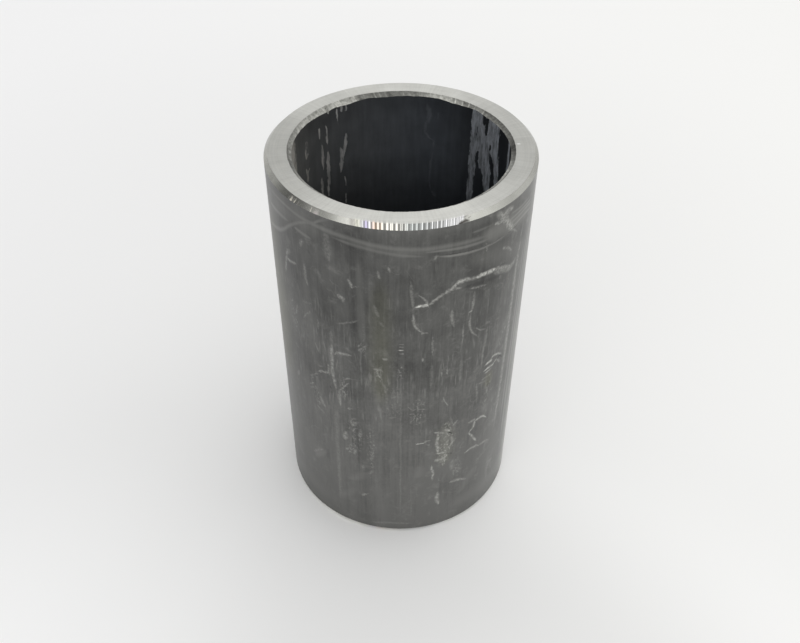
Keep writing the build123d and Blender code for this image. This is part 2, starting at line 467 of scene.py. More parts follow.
# The others follow a slightly shaky course
wallMarks = [
    # a broad scuff at the upper right, and what is near it
    (0.39, 0.20, [(3.5, 45.6), (3.7, 46.3)]),
    (1.15, 0.40, [(10.7, 49.4), (11.8, 47.9), (12.6, 46.8), (13.7, 45.3)]),
    (0.44, 0.24, [(12.8, 46.4), (13.7, 45.5), (14.7, 44.6)]),
    (0.50, 0.40, [(10.2, 47.9), (11.2, 47.8), (12.3, 48.1)]),
    (0.70, 0.32, [(11.0, 48.3), (12.0, 48.6), (13.3, 48.6)]),
    (0.55, 0.24, [(11.8, 44.1), (12.9, 43.6), (14.0, 42.6)]),
    (0.23, 0.17, [(9.3, 46.3), (9.5, 45.5), (9.5, 44.7)]),
    # left, upper half
    (0.36, 0.22, [(-15.3, 38.5), (-14.7, 40.8), (-14.3, 42.0), (-13.9, 42.9)]),
    (0.50, 0.15, [(-14.4, 41.6), (-13.7, 42.8)]),
    (0.31, 0.26, [(-15.0, 40.9), (-13.7, 41.1), (-12.5, 41.4)]),
    (0.36, 0.24, [(-11.6, 44.3), (-11.3, 45.4)]),
    (0.80, 0.11, [(-7.9, 48.1), (-7.7, 44.0)]),
    (0.42, 0.17, [(-11.2, 42.3), (-11.2, 40.3), (-10.9, 39.2)]),
    (0.31, 0.31, [(-5.6, 42.7), (-5.3, 42.1), (-5.1, 41.4)]),
    (0.21, 0.15, [(-5.2, 41.6), (-4.2, 41.9)]),
    (0.45, 0.28, [(-7.0, 39.9), (-6.0, 39.7)]),
    (0.23, 0.17, [(-6.2, 39.9), (-6.2, 39.0)]),
    (0.23, 0.26, [(-2.3, 44.4), (-2.2, 43.3)]),
    (0.23, 0.26, [(-1.3, 45.1), (-1.1, 44.3)]),
    (0.39, 0.13, [(-2.8, 39.8), (-2.3, 38.0)]),
    (0.39, 0.11, [(-2.2, 37.6), (-1.8, 36.7)]),
    (0.39, 0.09, [(-4.1, 38.4), (-4.0, 33.2)]),
    (0.23, 0.14, [(-7.2, 35.7), (-5.6, 36.5), (-4.2, 37.2)]),
    (0.31, 0.15, [(-13.7, 33.4), (-13.1, 35.4)]),
    (0.31, 0.17, [(-12.2, 33.9), (-11.5, 34.9), (-10.8, 35.8)]),
    (0.26, 0.13, [(-11.9, 36.4), (-10.5, 37.0)]),
    (0.31, 0.11, [(-9.8, 35.3), (-9.8, 33.6)]),
    # the long mark on the left and what is near it
    (0.40, 0.12, [(-8.0, 34.6), (-8.0, 31.8)]),
    (0.42, 0.30, [(-8.0, 33.0), (-8.1, 30.0), (-8.1, 28.0), (-7.9, 26.5), (-7.7, 24.8)]),
    (0.34, 0.28, [(-7.9, 30.7), (-7.3, 31.3), (-6.5, 31.5), (-5.4, 31.6)]),
    (0.29, 0.22, [(-8.7, 29.0), (-8.6, 27.0)]),
    (0.26, 0.17, [(-12.0, 24.9), (-11.0, 25.7), (-10.2, 26.4)]),
    (0.34, 0.28, [(-10.5, 26.6), (-9.6, 27.1), (-8.9, 27.4), (-8.2, 27.5)]),
    (0.21, 0.17, [(-10.2, 27.6), (-9.4, 28.0)]),
    (0.34, 0.25, [(-7.3, 25.5), (-7.3, 22.4)]),
    (0.23, 0.28, [(-7.7, 25.0), (-7.2, 25.3), (-6.6, 26.2), (-5.9, 27.2)]),
    (0.23, 0.20, [(-6.8, 27.1), (-6.3, 27.7), (-5.7, 27.9)]),
    (0.50, 0.12, [(-8.1, 23.1), (-8.0, 12.1), (-8.1, 2.6)]),
    (0.21, 0.26, [(-12.0, 23.4), (-11.1, 24.2)]),
    (0.21, 0.22, [(-12.0, 22.9), (-11.3, 23.5)]),
    (0.55, 0.20, [(-10.4, 22.7), (-10.0, 21.9), (-9.6, 20.9)]),
    (0.39, 0.13, [(-11.1, 20.5), (-9.6, 19.8)]),
    (0.36, 0.17, [(-14.5, 22.8), (-14.2, 24.2)]),
    (0.29, 0.15, [(-10.6, 31.4), (-9.8, 29.8)]),
    (0.31, 0.24, [(-4.7, 32.5), (-3.7, 33.7)]),
    (0.34, 0.24, [(-2.0, 32.0), (-1.2, 31.9)]),
    (0.34, 0.29, [(-3.0, 30.2), (-1.9, 30.2)]),
    (0.29, 0.31, [(-2.6, 30.0), (-2.4, 29.4), (-2.1, 28.8)]),
    (0.31, 0.13, [(-2.4, 28.8), (-1.7, 27.6), (-1.6, 26.3)]),
    (0.23, 0.17, [(-1.3, 22.4), (-0.4, 22.5)]),
    # a ladder of ticks at the middle
    (0.12, 0.85, [(-0.2, 33.4), (0.5, 33.4)]),
    (0.10, 0.28, [(-0.1, 34.3), (0.5, 34.3)]),
    (0.10, 0.28, [(-0.1, 33.9), (0.5, 33.9)]),
    (0.10, 0.32, [(-0.1, 32.9), (0.5, 32.9)]),
    (0.20, 0.46, [(2.6, 32.1), (2.6, 31.4)]),
    (0.21, 0.10, [(0.2, 31.0), (0.2, 2.1)]),
    (0.12, 0.16, [(-0.2, 30.8), (-0.2, 24.0)]),
    (0.14, 0.10, [(1.6, 9.6), (1.6, 2.6)]),
    # mottling left of the middle
    (0.60, 0.26, [(-6.9, 16.6), (-6.7, 18.5)]),
    (0.59, 0.26, [(-5.8, 19.7), (-5.3, 20.8)]),
    (0.45, 0.20, [(-5.0, 18.0), (-4.6, 19.4)]),
    (0.39, 0.22, [(-6.8, 14.8), (-6.3, 15.5)]),
    (0.39, 0.24, [(-5.7, 14.4), (-5.4, 15.6)]),
    (0.34, 0.20, [(-3.5, 14.2), (-3.2, 15.2)]),
    (0.26, 0.24, [(-6.4, 22.6), (-5.6, 22.8)]),
    (0.45, 0.17, [(-4.7, 12.0), (-4.5, 13.0)]),
    (0.45, 0.17, [(-3.8, 11.2), (-3.3, 12.4)]),
    (0.39, 0.44, [(-4.8, 6.6), (-4.2, 7.3)]),
    (0.49, 0.17, [(-12.5, 10.4), (-10.4, 12.7)]),
    (0.34, 0.13, [(-3.9, 1.3), (-1.1, 1.8), (2.3, 1.5)]),
    # the bright smear on the right and the hook beside it
    (0.45, 0.48, [(5.5, 41.5), (6.3, 42.0), (7.1, 42.15), (8.0, 41.9)]),
    (0.42, 0.31, [(7.0, 42.0), (8.0, 41.9), (9.0, 41.85)]),
    (0.42, 0.68, [(8.1, 41.9), (9.2, 41.9), (10.2, 41.8), (11.6, 41.7)]),
    (0.50, 0.37, [(10.2, 41.75), (11.4, 41.6), (12.3, 41.3), (13.2, 40.9), (14.2, 40.5)]),
    (0.75, 0.24, [(10.6, 41.4), (12.4, 40.9), (13.6, 40.4), (15.4, 40.9)]),
    (0.39, 0.31, [(12.6, 40.9), (13.6, 40.5), (14.3, 40.6), (15.1, 41.2)]),
    (0.42, 0.40, [(4.6, 40.9), (5.3, 41.2), (5.9, 41.5), (6.4, 42.0)]),
    (0.29, 0.29, [(5.0, 41.0), (5.9, 41.3), (6.7, 41.2)]),
    (0.42, 0.33, [(2.9, 39.6), (3.6, 40.2), (4.2, 40.7), (4.9, 41.0)]),
    (0.26, 0.22, [(7.6, 40.6), (8.7, 40.45), (10.0, 40.2)]),
    (0.34, 1.15, [(1.5, 39.6), (2.2, 39.7), (3.1, 39.7)]),
    (0.26, 0.28, [(1.8, 41.3), (2.4, 40.8), (2.8, 40.2), (2.9, 39.6)]),
    (0.29, 0.18, [(1.1, 43.2), (1.2, 41.5), (1.4, 39.0)]),
    (0.26, 0.16, [(1.4, 40.0), (1.4, 37.6)]),
    (0.30, 0.34, [(1.35, 39.0), (1.4, 37.8), (1.6, 36.9), (2.1, 36.1), (3.0, 35.6)]),
    (0.23, 0.24, [(2.2, 35.7), (3.1, 35.8)]),
    (0.36, 0.24, [(5.6, 38.6), (5.7, 37.2), (6.1, 35.7)]),
    (0.26, 0.17, [(8.4, 40.2), (8.3, 38.1), (8.0, 36.8)]),
    (0.23, 0.29, [(8.2, 38.8), (8.2, 37.6)]),
    (0.21, 0.51, [(7.7, 37.3), (8.3, 37.3)]),
    (0.26, 0.24, [(8.0, 37.0), (8.0, 35.3), (8.4, 34.1), (9.5, 32.7)]),
    (0.23, 0.20, [(8.8, 34.6), (9.6, 33.8), (10.4, 33.6)]),
    (0.34, 0.18, [(10.6, 34.0), (10.6, 31.8), (10.3, 29.8), (10.3, 27.2)]),
    (0.29, 0.18, [(9.8, 25.4), (9.9, 22.6)]),
    # a long rubbed line on the right
    (0.60, 0.28, [(16.0, 46.5), (15.7, 43.0), (15.4, 40.0), (15.3, 38.0), (15.2, 34.5), (15.0, 30.0),
                  (14.8, 25.0), (14.6, 21.0), (14.3, 17.0), (14.0, 13.0)]),
    (0.29, 0.20, [(14.7, 23.5), (14.6, 21.6), (14.6, 19.6)]),
    # short scratches along the tube
    (0.21, 0.20, [(3.6, 35.4), (3.6, 32.2)]),
    (0.21, 0.20, [(7.2, 36.1), (7.2, 32.7)]),
    (0.42, 0.13, [(7.3, 30.7), (7.2, 26.8)]),
    (0.14, 0.26, [(4.8, 30.3), (4.8, 28.5)]),
    (0.14, 0.26, [(5.4, 30.3), (5.5, 28.6)]),
    (0.39, 0.12, [(3.6, 31.2), (3.6, 26.8)]),
    (0.14, 0.28, [(5.2, 25.3), (5.4, 24.3), (5.9, 23.3)]),
    (0.34, 0.22, [(11.7, 23.4), (11.7, 22.0)]),
    # the scuff on the right
    (0.34, 0.74, [(10.8, 27.5), (11.5, 27.6), (12.2, 27.6)]),
    (0.29, 0.51, [(11.6, 27.8), (12.4, 28.1), (13.1, 27.9), (14.1, 27.2)]),
    (0.31, 0.57, [(10.6, 26.5), (11.4, 26.7), (12.3, 26.7), (13.2, 27.3)]),
    (0.29, 0.33, [(10.9, 26.0), (12.2, 26.2)]),
    (0.34, 0.28, [(12.6, 27.3), (13.3, 26.8), (13.8, 25.9)]),
    (0.31, 0.20, [(10.4, 25.3), (12.3, 25.2)]),
    (0.29, 0.17, [(10.0, 24.9), (11.7, 24.6)]),
    # squiggles at the middle
    (0.12, 0.30, [(0.9, 24.4), (1.5, 23.7), (2.0, 23.9)]),
    (0.12, 0.26, [(1.1, 23.0), (1.8, 23.1)]),
    (0.12, 0.32, [(1.9, 24.2), (2.5, 24.7), (3.1, 24.3)]),
    (0.12, 0.28, [(2.0, 23.8), (3.3, 23.6)]),
    (0.12, 0.22, [(1.2, 21.4), (1.9, 22.4)]),
    (0.14, 0.80, [(1.9, 17.6), (2.8, 17.6), (3.4, 17.7)]),
    (0.12, 0.45, [(3.0, 17.9), (3.9, 17.9)]),
    (0.12, 0.40, [(3.2, 17.3), (3.9, 17.0)]),
    # dried residue, with its run below
    (0.39, 0.46, [(4.8, 19.2), (4.7, 17.0), (4.9, 15.0)]),
    (0.34, 0.37, [(4.1, 19.2), (5.0, 18.9), (5.9, 18.5)]),
    (0.29, 0.48, [(4.6, 15.1), (6.1, 14.9)]),
    (0.47, 0.64, [(5.6, 19.2), (6.4, 18.7)]),
    (0.42, 0.33, [(6.6, 17.8), (6.8, 16.6), (6.1, 15.4)]),
    (0.55, 0.41, [(4.3, 13.9), (5.2, 13.8), (6.3, 14.0)]),
    (0.39, 0.33, [(6.7, 19.4), (7.3, 20.3)]),
    (0.26, 0.48, [(4.1, 13.3), (4.2, 12.2), (4.4, 11.3), (4.3, 9.9)]),
    (0.50, 0.16, [(6.9, 13.2), (6.9, 10.8)]),
    (1.0, 0.15, [(5.4, 19.8), (6.1, 16.0), (5.4, 12.6)]),
    (0.52, 0.15, [(7.5, 11.3), (8.4, 10.2)]),
    # strokes low on the right
    (0.34, 0.53, [(9.8, 18.4), (10.7, 18.5), (11.4, 18.4), (12.2, 17.5)]),
    (0.34, 0.31, [(8.8, 18.8), (10.2, 18.7)]),
    (0.36, 0.46, [(10.0, 18.6), (9.8, 17.5), (9.0, 16.6)]),
    (0.31, 0.46, [(9.0, 17.0), (9.7, 15.9), (10.6, 14.2)]),
    (0.36, 0.40, [(8.6, 13.1), (9.4, 13.5), (10.8, 13.3), (11.3, 12.8)]),
    (0.39, 0.28, [(11.0, 13.1), (12.0, 13.0), (13.3, 12.4)]),
    (0.42, 0.35, [(6.5, 8.6), (7.4, 8.5), (8.3, 8.3), (9.7, 7.4)]),
    (0.47, 0.40, [(5.2, 7.5), (5.0, 6.2), (5.3, 4.5)]),
    # a soft streak low on the right
    (0.45, 0.13, [(13.3, 9.4), (13.5, 3.5)]),
]

# Fields of pale speckles and blurred wiping marks on the outside, as above
wallSpeckles = [
    (1.5, 0.45, [(-5.7, 21.8), (-5.3, 18.0), (-6.1, 13.4)]),
    (0.9, 0.30, [(-3.5, 21.5), (-3.3, 17.0), (-3.5, 12.0)]),
    (1.6, 0.60, [(6.0, 21.4), (6.2, 17.0), (5.5, 12.0)]),
    (1.1, 0.35, [(7.4, 13.6), (7.8, 9.0)]),
    (1.7, 0.30, [(2.2, 25.8), (2.3, 20.8)]),
    (0.7, 0.60, [(-2.4, 31.0), (-2.3, 28.0)]),
    (0.6, 0.45, [(0.1, 31.2), (0.1, 28.6)]),
    (2.2, 0.16, [(-0.9, 28.4), (-0.7, 21.6)]),
    (0.9, 0.40, [(-11.5, 25.6), (-10.3, 20.0)]),
    (0.8, 0.40, [(-4.4, 34.2), (-4.0, 32.0)]),
    (1.0, 0.35, [(11.9, 25.7), (11.3, 20.1)]),
    (0.9, 0.35, [(-6.7, 27.8), (-6.6, 24.0)]),
    (1.4, 0.22, [(13.0, 28.4), (14.0, 30.8), (14.9, 34.2)]),
    (1.2, 0.30, [(-14.3, 36.0), (-13.7, 31.0)]),
]
wipingMarks = [
    (2.2, 0.16, [(8.2, 47.0), (12.1, 46.9), (17.4, 46.3)]),
    (2.2, 0.07, [(-17.0, 47.3), (-12.0, 47.6), (-7.8, 47.4)]),
    (2.6, 0.06, [(6.5, 3.6), (12.5, 3.4), (20.0, 4.4)]),
    (2.6, 0.04, [(-18.0, 4.2), (-12.0, 3.4), (-7.0, 3.4)]),
    (1.5, 0.07, [(12.3, 28.4), (13.6, 30.8), (15.1, 34.0)]),
    (2.4, 0.07, [(7.0, 44.6), (12.1, 43.6), (17.6, 41.6)]),
    (1.2, 0.07, [(-15.5, 47.8), (-12.0, 47.6), (-8.5, 47.3)]),
    (1.6, 0.07, [(-6.5, 9.0), (-3.7, 11.8)]),
    (1.2, 0.08, [(-12.3, 10.0), (-9.7, 12.6)]),
    (1.6, 0.06, [(-8.7, 4.4), (-5.3, 7.6)]),
    (1.6, 0.07, [(8.2, 5.1), (10.6, 9.4)]),
    (1.3, 0.06, [(2.3, 10.9), (2.6, 13.5)]),
    (1.2, 0.04, [(-14.7, 30.9), (-14.3, 37.0)]),
    (0.7, 0.07, [(-4.3, 46.4), (-4.2, 33.0)]),
    (0.8, 0.04, [(-11.3, 44.0), (-11.2, 24.0)]),
]

# Pits and dark traces on the outside, as above: a painted band of shade just below the upper chamfer, painted
# shade in the pits and below the bright smear, and some small dark spots
wallPitsAndShade = [
    (0.70, 0.12, [(-9.1, 49.1), (0.0, 48.8), (11.1, 48.5)]),
    (0.16, 0.50, [(3.7, 46.2), (6.1, 45.9), (9.0, 45.7), (13.2, 45.7), (15.9, 46.0)]),
    (0.40, 0.32, [(6.5, 41.1), (9.0, 40.9), (12.5, 40.3)]),
    (0.45, 0.25, [(-10.6, 44.5), (-9.9, 43.7)]),
    (0.22, 0.60, [(-10.8, 25.7), (-10.3, 26.0)]),
    (0.20, 0.60, [(-8.6, 25.3), (-8.4, 24.9)]),
    (0.16, 0.50, [(-8.5, 24.5), (-8.4, 24.0)]),
    (0.22, 0.90, [(6.1, 18.6), (6.7, 18.1)]),
    (0.28, 0.40, [(6.3, 17.2), (6.3, 15.8)]),
    (0.30, 0.35, [(6.1, 14.7), (7.1, 14.1)]),
    (0.20, 0.75, [(12.9, 27.1), (13.6, 27.2), (14.4, 26.4)]),
    (0.14, 0.50, [(11.5, 26.7), (12.9, 26.9)]),
    (0.50, 0.25, [(-6.2, 19.3), (-6.0, 20.4)]),
    (0.45, 0.25, [(-5.8, 17.5), (-5.5, 16.3)]),
    (0.60, 0.20, [(-9.8, 11.2), (-9.5, 13.2)]),
]

# Where oil has left an olive stain, as above
oilStains = [
    (1.9, 0.28, [(5.8, 20.8), (5.8, 12.2)]),
    (1.3, 0.7, [(11.7, 26.1), (11.7, 23.3)]),
    (4.5, 0.85, [(-18.5, 47.0), (-18.0, 20.0)]),
    (2.2, 0.5, [(-2.1, 44.0), (-2.1, 24.0)]),
]


skin = {
    "dark": "#3c3c3b",
    "pale": "#747472",
    "scuff": "#d8d8d2",  # where the skin is rubbed or something dried on it
    # painted shade in the pits and in the band below the chamfer, and small dark spots
    "pitAndShade": "#1c1c1b",
    "oil": "#5e5e50",
    # sizes across the tube, in mm
    "drawLine": 0.35,  # the die's lines
    "cloud": 6.0,
    "mottle": 1.2,
    "smudge": 1.6,
    "dash": 0.3,  # short scratches along the tube
    "speckle": 0.28,
    "contour": 4.0,  # wandering hairline scratches
    "bandsPerMm": 0.35,
    "grainPerMm": 2.6,
    # how far patterns are drawn out along the tube: below 1 is longer
    "stretch": {"drawLine": 0.03, "mottle": 0.35, "dash": 0.13, "speckle": 0.6},
    # how much each pattern adds to the tone, the tones that are darkest and palest, and the roughness there
    "shares": {"grain": 0.6, "bands": 0.14, "mottle": 0.28, "clouds": 0.42},
    "tones": (0.50, 1.34),
    "roughness": (0.38, 0.52),
    "smudgeLevels": (0.10, 0.17),  # how strong they are elsewhere, and round the right side
    "smudgeCentre": 24.0,  # mm of arc, with how near is full and how far is least
    "smudgeReach": (12.0, 22.0),
    "contourLevel": 0.09,
    "shake": 0.45,  # mm, how far the marks' course wanders
    # how strong the dashes are and how clear the lines, by height in mm
    "dashLevels": [(0, 0.02), (12, 0.05), (21, 0.14), (31, 0.14), (35, 0.10), (42, 0.05), (50, 0.04)],
    "lineLevels": [(0, 0.34), (8, 0.34), (26, 0.42), (32, 0.33), (38, 0.21), (50, 0.18)],
    "paintedShadeByHeight": [  # painted shade and light: how pale, by height in mm, darker up the tube and paler at the foot
        (0, 0.95), (1, 0.82), (1.6, 0.62), (2, 0.60), (3, 0.60), (6, 0.54), (8, 0.56), (12, 0.56), (16, 0.50),
        (20, 0.46), (24, 0.40), (28, 0.38), (32, 0.36), (36, 0.30), (40, 0.27), (43, 0.26), (46, 0.29),
        (47, 0.25), (48.2, 0.27), (48.8, 0.37), (50, 0.42),
    ],
    "paintedLightByArc": [  # painted light and shade: how bright, by arc in mm, with a painted highlight along the right edge; the same at both ends, which meet at the back
        (-48, 0.98), (-27, 0.96), (-20, 0.90), (-18, 0.91), (-16, 0.88), (-14.5, 0.82), (-13, 0.88),
        (-11, 0.93), (-9.5, 0.91), (-8, 0.99), (-6, 1.01), (-4, 0.89), (-3, 1.12), (-2, 1.14), (-1, 1.03),
        (2, 1.06), (4, 1.04), (7, 1.06), (9, 0.90), (11, 0.88), (13, 1.0), (16, 1.02), (17, 1.10),
        (18, 1.45), (19, 2.0), (20, 2.2), (22, 1.8), (24, 1.25), (28, 1.0), (48, 0.98),
    ],
}


def coldDrawnSkin():
    # Cold-drawn tube steel: the die leaves a dull grey skin with fine lines along it and pale cloudy stains
    material, tree = newMaterial("cold_drawn_steel_skin")
    point = metreToMillimetre(tree)
    arc, height = unroll(tree, point, outerRadius, -1.0)
    darkest, palest = skin["tones"]
    stretch, shares = skin["stretch"], skin["shares"]
    lengthways = alongTube(tree, point, stretch["drawLine"])
    drawLines = addNode(tree, "ShaderNodeTexNoise", None, {
        "Vector": lengthways, "Scale": 1 / skin["drawLine"], "Detail": 3.0, "Roughness": 0.65})
    bands = addNode(tree, "ShaderNodeTexNoise", None, {
        "Vector": lengthways, "Scale": skin["bandsPerMm"], "Detail": 1.0, "Roughness": 0.5})
    clouds = addNode(tree, "ShaderNodeTexNoise", None, {
        "Vector": point, "Scale": 1 / skin["cloud"], "Detail": 3.0, "Roughness": 0.5})
    grain = addNode(tree, "ShaderNodeTexNoise", None, {
        "Vector": point, "Scale": skin["grainPerMm"], "Detail": 3.0, "Roughness": 0.7})
    mottle = addNode(tree, "ShaderNodeTexNoise", None, {
        "Vector": alongTube(tree, point, stretch["mottle"]), "Scale": 1 / skin["mottle"],
        "Detail": 3.0, "Roughness": 0.6})
    # the lines and the grain, about 0, are calmer near the top; the tone by height is painted shade, paler at
    # the foot and darker up the tube
    fine = addNode(tree, "ShaderNodeMath", {"operation": "MULTIPLY_ADD"},
                   {0: grain.outputs["Fac"], 1: shares["grain"], 2: drawLines.outputs["Fac"]})
    fine = addNode(tree, "ShaderNodeMath", {"operation": "SUBTRACT"}, {0: fine.outputs[0], 1: 0.8})
    calm = levelAlong(tree, height, 0.0, bushLength / mm, skin["lineLevels"])
    tone = levelAlong(tree, height, 0.0, bushLength / mm, skin["paintedShadeByHeight"])
    for pattern, share in (
        (fine.outputs[0], calm),
        (bands.outputs["Fac"], shares["bands"]),
        (mottle.outputs["Fac"], shares["mottle"]),
        (clouds.outputs["Fac"], shares["clouds"]),
    ):
        tone = addNode(tree, "ShaderNodeMath", {"operation": "MULTIPLY_ADD"},
                       {0: pattern, 1: share, 2: tone}).outputs[0]
    ground = addNode(tree, "ShaderNodeValToRGB", None, {0: tone})
    for stop, place, code in zip(ground.color_ramp.elements, (darkest, palest), (skin["dark"], skin["pale"])):
        stop.position = place
        stop.color = hexColour(code)
    # painted light and shade round the tube, with a painted highlight along the right edge
    ground = shaded(tree, ground.outputs[0], levelAlong(tree, arc, -48.0, 96.0, skin["paintedLightByArc"]))
    oil = markMask(tree, (arc, height), wallSpans, oilStains)
    ground = addNode(tree, "ShaderNodeMix", {"data_type": "RGBA", "blend_type": "COLOR"},
                     {0: oil, 6: ground, 7: hexColour(skin["oil"])})

    # soft smudges, most of them round the right side
    smudges = addNode(tree, "ShaderNodeTexNoise", None, {
        "Vector": point, "Scale": 1 / skin["smudge"], "Detail": 5.0, "Roughness": 0.7, "Distortion": 0.3})
    smudges = addNode(tree, "ShaderNodeMapRange", {"interpolation_type": "SMOOTHSTEP"}, {
        "Value": smudges.outputs["Fac"], "From Min": 0.50, "From Max": 0.80})
    rightward = addNode(tree, "ShaderNodeMath", {"operation": "SUBTRACT"}, {0: arc, 1: skin["smudgeCentre"]})
    rightward = addNode(tree, "ShaderNodeMath", {"operation": "ABSOLUTE"}, {0: rightward.outputs[0]})
    rightward = addNode(tree, "ShaderNodeMapRange", None, {
        "Value": rightward.outputs[0], "From Min": skin["smudgeReach"][1], "From Max": skin["smudgeReach"][0],
        "To Min": skin["smudgeLevels"][0], "To Max": skin["smudgeLevels"][1]})
    smudges = addNode(tree, "ShaderNodeMath", {"operation": "MULTIPLY"},
                      {0: smudges.outputs[0], 1: rightward.outputs[0]})

    # short scratches along the tube, in fields round its middle
    dashes = addNode(tree, "ShaderNodeTexNoise", None, {
        "Vector": alongTube(tree, point, stretch["dash"]), "Scale": 1 / skin["dash"],
        "Detail": 2.0, "Roughness": 0.6})
    dashes = addNode(tree, "ShaderNodeMapRange", {"interpolation_type": "SMOOTHSTEP"}, {
        "Value": dashes.outputs["Fac"], "From Min": 0.50, "From Max": 0.74})
    fields = addNode(tree, "ShaderNodeTexNoise", None, {"Vector": point, "Scale": 0.3, "Detail": 2.0})
    fields = addNode(tree, "ShaderNodeMapRange", None, {
        "Value": fields.outputs["Fac"], "From Min": 0.40, "From Max": 0.60})
    for level in (fields.outputs[0], levelAlong(tree, height, 0.0, bushLength / mm, skin["dashLevels"])):
        dashes = addNode(tree, "ShaderNodeMath", {"operation": "MULTIPLY"}, {0: dashes.outputs[0], 1: level})

    # hairline scratches wander as the contour lines of a noise do, broken up by another
    contours = addNode(tree, "ShaderNodeTexNoise", None, {
        "Vector": point, "Scale": 1 / skin["contour"], "Detail": 2.0, "Roughness": 0.5})
    contours = addNode(tree, "ShaderNodeMath", {"operation": "COMPARE"},
                       {0: contours.outputs["Fac"], 1: 0.47, 2: 0.006})
    broken = addNode(tree, "ShaderNodeTexNoise", None, {"Vector": point, "Scale": 0.5, "Detail": 3.0})
    broken = addNode(tree, "ShaderNodeMapRange", None, {
        "Value": broken.outputs["Fac"], "From Min": 0.52, "From Max": 0.66, "To Max": skin["contourLevel"]})
    contours = addNode(tree, "ShaderNodeMath", {"operation": "MULTIPLY"},
                       {0: contours.outputs[0], 1: broken.outputs[0]})

    # the listed marks follow a slightly shaky course and are worn unevenly
    wander = addNode(tree, "ShaderNodeTexNoise", None, {
        "Vector": point, "Scale": 0.9, "Detail": 4.0, "Roughness": 0.65})
    shake = addNode(tree, "ShaderNodeMath", {"operation": "SUBTRACT"}, {0: wander.outputs["Fac"], 1: 0.5})
    ragged = addNode(tree, "ShaderNodeTexNoise", None, {
        "Vector": point, "Scale": 4.5, "Detail": 2.0, "Roughness": 0.6})
    ragged = addNode(tree, "ShaderNodeMath", {"operation": "MULTIPLY_ADD"},
                     {0: ragged.outputs["Fac"], 1: 0.5, 2: -0.25})
    shake = addNode(tree, "ShaderNodeMath", None, {0: shake.outputs[0], 1: ragged.outputs[0]})
    shaky = [
        addNode(tree, "ShaderNodeMath", {"operation": "MULTIPLY_ADD"},
                {0: shake.outputs[0], 1: reach, 2: socket}).outputs[0]
        for socket, reach in ((arc, skin["shake"]), (height, -skin["shake"]))
    ]
    marks = markMask(tree, shaky, wallSpans, wallMarks)
    worn = addNode(tree, "ShaderNodeTexNoise", None, {
        "Vector": point, "Scale": 3.2, "Detail": 2.0, "Roughness": 0.6})
    worn = addNode(tree, "ShaderNodeMapRange", None, {
        "Value": worn.outputs["Fac"], "From Min": 0.38, "From Max": 0.60, "To Min": 0.45, "To Max": 1.15})
    marks = addNode(tree, "ShaderNodeMath", {"operation": "MULTIPLY"}, {0: marks, 1: worn.outputs[0]})
    rings = markMask(tree, (arc, height), wallSpans, wallRings)
    pitsAndShade = markMask(tree, shaky, wallSpans, wallPitsAndShade)
    speckles = addNode(tree, "ShaderNodeTexNoise", None, {
        "Vector": alongTube(tree, point, stretch["speckle"]), "Scale": 1 / skin["speckle"],
        "Detail": 3.0, "Roughness": 0.7})
    speckles = addNode(tree, "ShaderNodeMapRange", {"interpolation_type": "SMOOTHSTEP"}, {
        "Value": speckles.outputs["Fac"], "From Min": 0.48, "From Max": 0.72})
    speckles = addNode(tree, "ShaderNodeMath", {"operation": "MULTIPLY"},
                       {0: speckles.outputs[0], 1: markMask(tree, (arc, height), wallSpans, wallSpeckles)})
    speckles = addNode(tree, "ShaderNodeMath", None,
                       {0: speckles.outputs[0], 1: markMask(tree, (arc, height), wallSpans, wipingMarks)})

    # the strongest of them shows
    scuffs = marks.outputs[0]
    for layer in (rings, smudges.outputs[0], speckles.outputs[0], contours.outputs[0], dashes.outputs[0]):
        scuffs = addNode(tree, "ShaderNodeMath", {"operation": "MAXIMUM"}, {0: scuffs, 1: layer}).outputs[0]
    colour = ground.outputs[2]
    # the pale scuffs, then the dark of the pits with the painted shade
    for share, code in ((scuffs, skin["scuff"]), (pitsAndShade, skin["pitAndShade"])):
        colour = addNode(tree, "ShaderNodeMix", {"data_type": "RGBA"},
                         {0: share, 6: colour, 7: hexColour(code)}).outputs[2]
    metal = addNode(tree, "ShaderNodeMapRange", None, {"Value": scuffs, "To Min": 1.0, "To Max": 0.25})
    dull = addNode(tree, "ShaderNodeMapRange", None, {
        "Value": tone, "From Min": darkest, "From Max": palest,
        "To Min": skin["roughness"][0], "To Max": skin["roughness"][1]})
    relief = addNode(tree, "ShaderNodeBump", None, {
        "Strength": 0.25, "Distance": 0.02 * mm, "Height": drawLines.outputs["Fac"]})
    shader = addNode(tree, "ShaderNodeBsdfPrincipled", None, {
        "Base Color": colour, "Metallic": metal.outputs[0], "Roughness": dull.outputs[0],
        "Normal": relief.outputs[0], "Coat Weight": 0.25, "Coat Roughness": 0.3,  # a film of oil
    })
    addNode(tree, "ShaderNodeOutputMaterial", None, {0: shader.outputs[0]})
    return material


def outwards(tree, point):
    # direction out from the axis, and the distance from it in mm
    flat = addNode(tree, "ShaderNodeVectorMath", {"operation": "MULTIPLY"}, {0: point, 1: (1.0, 1.0, 0.0)})
    radius = addNode(tree, "ShaderNodeVectorMath", {"operation": "LENGTH"}, {0: flat.outputs[0]})
    direction = addNode(tree, "ShaderNodeVectorMath", {"operation": "NORMALIZE"}, {0: flat.outputs[0]})
    return direction.outputs[0], radius.outputs["Value"]


def roundTheRim(tree, point, places):
    # a level by angle in degrees
    parts = addNode(tree, "ShaderNodeSeparateXYZ", None, {0: point})
    angle = addNode(tree, "ShaderNodeMath", {"operation": "ARCTAN2"},
                    {0: parts.outputs["Y"], 1: parts.outputs["X"]})
    turns = addNode(tree, "ShaderNodeMath", {"operation": "DIVIDE"}, {0: angle.outputs[0], 1: 2 * math.pi})
    turns = addNode(tree, "ShaderNodeMath", {"operation": "FRACT"}, {0: turns.outputs[0]})
    return levelAlong(tree, turns.outputs[0], 0.0, 1.0, [(place / 360, value) for place, value in places])


def shaded(tree, colour, level):
    # a colour times a level
    return addNode(tree, "ShaderNodeVectorMath", {"operation": "SCALE"},
                   {0: colour, "Scale": level}).outputs[0]
